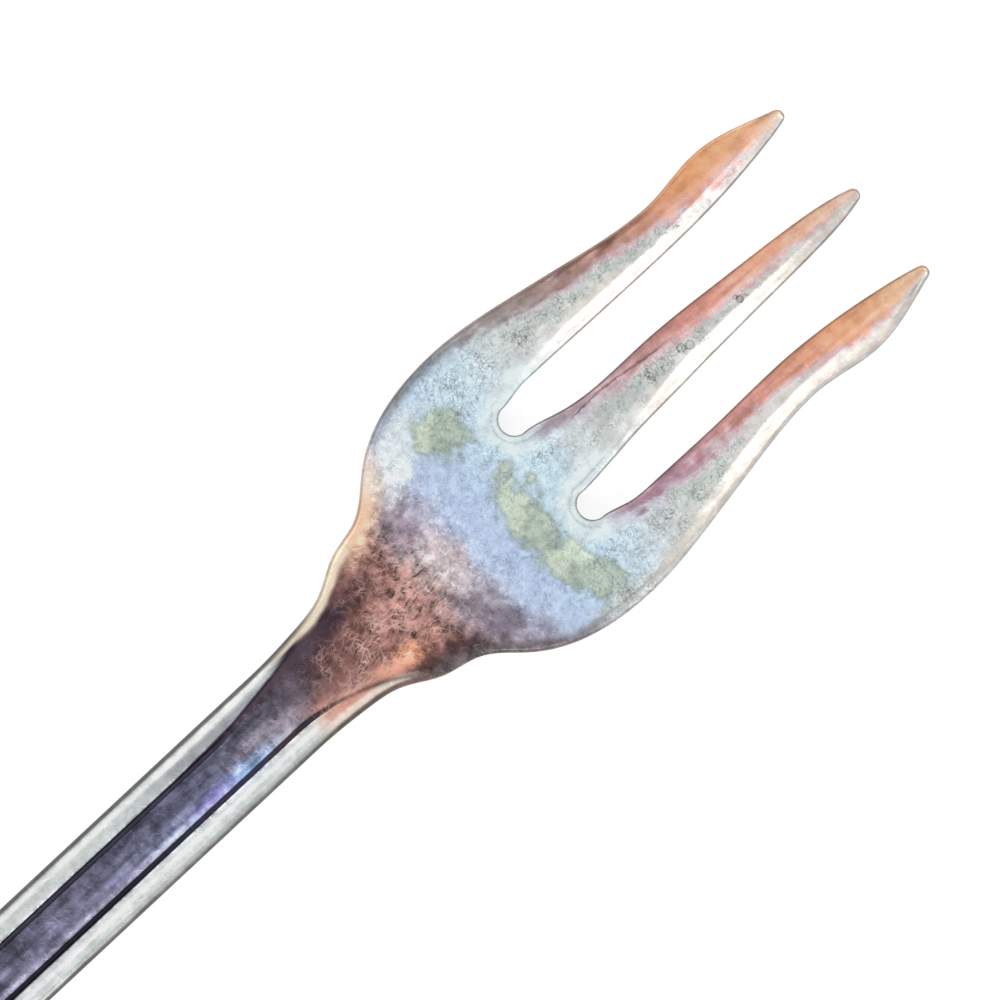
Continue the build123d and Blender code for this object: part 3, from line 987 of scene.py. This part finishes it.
# two pits side by side, two more further up, and a dark scratch along the middle tine, in millimetres
pits = ((0.22, 60.17, 0.27), (0.43, 60.67, 0.27), (0.47, 64.64, 0.22), (0.2, 64.5, 0.14))
line_x, line_bend_y, line_slant, line_width = -1.17, 55.4, 0.13, 0.1
line_low, line_high = (52.2, 53.2), (60.4, 58.8)
x_in, y_in, _ = n.parts(place)
for pit_x, pit_y, size in pits:
    away_x, away_y = n.minus(x_in, pit_x * MM), n.minus(y_in, pit_y * MM)
    away = n.math("SQRT", n.plus(n.times(away_x, away_x), n.times(away_y, away_y)))
    inside = n.ramp(away, size * MM, (size - 0.06) * MM)
    ring = n.ramp(n.math("ABSOLUTE", n.minus(away, (size - 0.02) * MM)), 0.07 * MM, 0.01 * MM)
    gain = n.minus(gain, n.times(inside, 0.14), n.times(ring, 0.42))
slant = n.times(n.largest(n.minus(y_in, line_bend_y * MM), 0.0), line_slant)
off_line = n.math("ABSOLUTE", n.plus(n.minus(n.minus(x_in, line_x * MM), slant), n.swing(cloud, 0.0004)))
line_ends = [n.ramp(y_in, start * MM, end * MM) for start, end in (line_low, line_high)]
dark_scratch = n.times(n.ramp(off_line, line_width * MM, 0.02 * MM), *line_ends)
gain = n.largest(n.minus(gain, n.times(dark_scratch, 0.55)), 0.15)

gained = n.node("ShaderNodeVectorMath", operation="SCALE")
n.put(gained.inputs[0], toning_and_light_in)
n.put(gained.inputs["Scale"], gain)
capped = n.node("ShaderNodeVectorMath", operation="MINIMUM")
n.put(capped.inputs[0], gained.outputs[0])
capped.inputs[1].default_value = (0.98, 0.98, 0.98)
hair_glow = n.times(crossed_hair, n.ramp(n.noise(place, 1100, 2.0), 0.3, 0.7), 0.85)
hair_colour = (0.80, 0.52, 0.46, 1)

shader = n.node("ShaderNodeBsdfPrincipled")
shader.inputs["Metallic"].default_value = 1.0
n.put(shader.inputs["Base Color"], n.mix(hair_glow, capped.outputs[0], hair_colour))
rough = n.plus(
    n.times(cloud, plain, 0.2),
    0.18,
    n.times(highlight_slope_in, 0.1),
    n.times(stipple_in, 0.12),
    n.times(crossed_hair, 0.1),
)
n.put(shader.inputs["Roughness"], rough)
sunk = (n.times(rings, stipple_in, 0.8), n.times(worms, crackle_in, 0.4))
height = n.minus(n.plus(n.times(crossed_hair, 0.6), n.times(grain, 0.3)), *sunk)
height = n.plus(height, n.times(long_hair, 0.3), n.times(cloud, plain, 0.8))
bump = n.node("ShaderNodeBump")
bump.inputs["Strength"].default_value = 0.5
bump.inputs["Distance"].default_value = 0.00003
n.put(bump.inputs["Height"], height)
n.put(shader.inputs["Normal"], bump.outputs[0])
n.put(n.node("ShaderNodeOutputMaterial").inputs["Surface"], shader.outputs[0])
mesh.materials.append(silver)

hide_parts("fork")
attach(fork, "root")

# the floor: a white sheet that looks white to the camera and lights the fork as paper does
floor_reach, floor_below = 2, 0.00005
floor_corners = [(x * floor_reach, y * floor_reach, 0) for x, y in ((-1, -1), (1, -1), (1, 1), (-1, 1))]
floor_mesh = bpy.data.meshes.new("floor")
floor_mesh.from_pydata(floor_corners, [], [(0, 1, 2, 3)])
floor = bpy.data.objects.new("floor", floor_mesh)
floor.location.z = -floor_below
scene.collection.objects.link(floor)
white, n = new_material("white_paper")
paper = n.node("ShaderNodeBsdfDiffuse")
paper.inputs["Color"].default_value = (0.8, 0.8, 0.8, 1)
glow = n.node("ShaderNodeEmission")
n.put(glow.inputs["Strength"], n.times(n.seen_directly(), 0.62))
both = n.node("ShaderNodeAddShader")
n.put(both.inputs[0], paper.outputs[0])
n.put(both.inputs[1], glow.outputs[0])
n.put(n.node("ShaderNodeOutputMaterial").inputs["Surface"], both.outputs[0])
floor_mesh.materials.append(white)

# the world: white to the camera, and for the silver to mirror, brighter above and a little on the right
world = bpy.data.worlds.new("world")
scene.world = world
world.use_nodes = True
n = Nodes(world.node_tree)
x_way, _, z_way = n.parts(n.node("ShaderNodeTexCoord").outputs["Generated"])
level = n.plus(n.times(n.ramp(z_way, -0.05, 0.55), 0.34), n.times(n.ramp(x_way, -0.9, 0.7), 0.12), 0.62)
backdrop = n.node("ShaderNodeBackground")
n.put(backdrop.inputs["Strength"], n.largest(level, n.node("ShaderNodeLightPath").outputs["Is Camera Ray"]))
lighting = n.node("ShaderNodeBackground")
lighting.inputs["Strength"].default_value = 0.75
mixed = n.node("ShaderNodeMixShader")
n.put(mixed.inputs[0], n.seen_directly())
n.put(mixed.inputs[1], lighting.outputs[0])
n.put(mixed.inputs[2], backdrop.outputs[0])
n.put(n.node("ShaderNodeOutputWorld").inputs["Surface"], mixed.outputs[0])

lamps_aim = Vector((0, 0.03, 0))


def lamp(name, place, size, power):
    """A square lamp at a place in metres, aimed at the fork."""
    light = bpy.data.lights.new(name, "AREA")
    light.shape = "SQUARE"
    light.size = size
    light.energy = power
    made = bpy.data.objects.new(name, light)
    made.location = place
    made.rotation_euler = (lamps_aim - made.location).to_track_quat("-Z", "Y").to_euler()
    scene.collection.objects.link(made)


lamp("key", (0.35, -0.1, 0.45), 0.3, 0.34)
lamp("fill", (-0.4, 0.3, 0.4), 0.5, 0.35)

# the camera looks straight down, as the photograph's did, from far enough away to show no perspective
sensor_width, seen_width, camera_distance = 36, 0.0587, 1.5
camera_data = bpy.data.cameras.new("camera")
camera_data.sensor_width = sensor_width
camera_data.lens = sensor_width * camera_distance / seen_width
camera_data.clip_start = 0.01
camera = bpy.data.objects.new("camera", camera_data)
camera.rotation_euler = (0, 0, math.radians(47))
camera.location = (-0.0005, 0.0463, 1.503)
scene.collection.objects.link(camera)
scene.camera = camera

scene.view_settings.view_transform = "Standard"
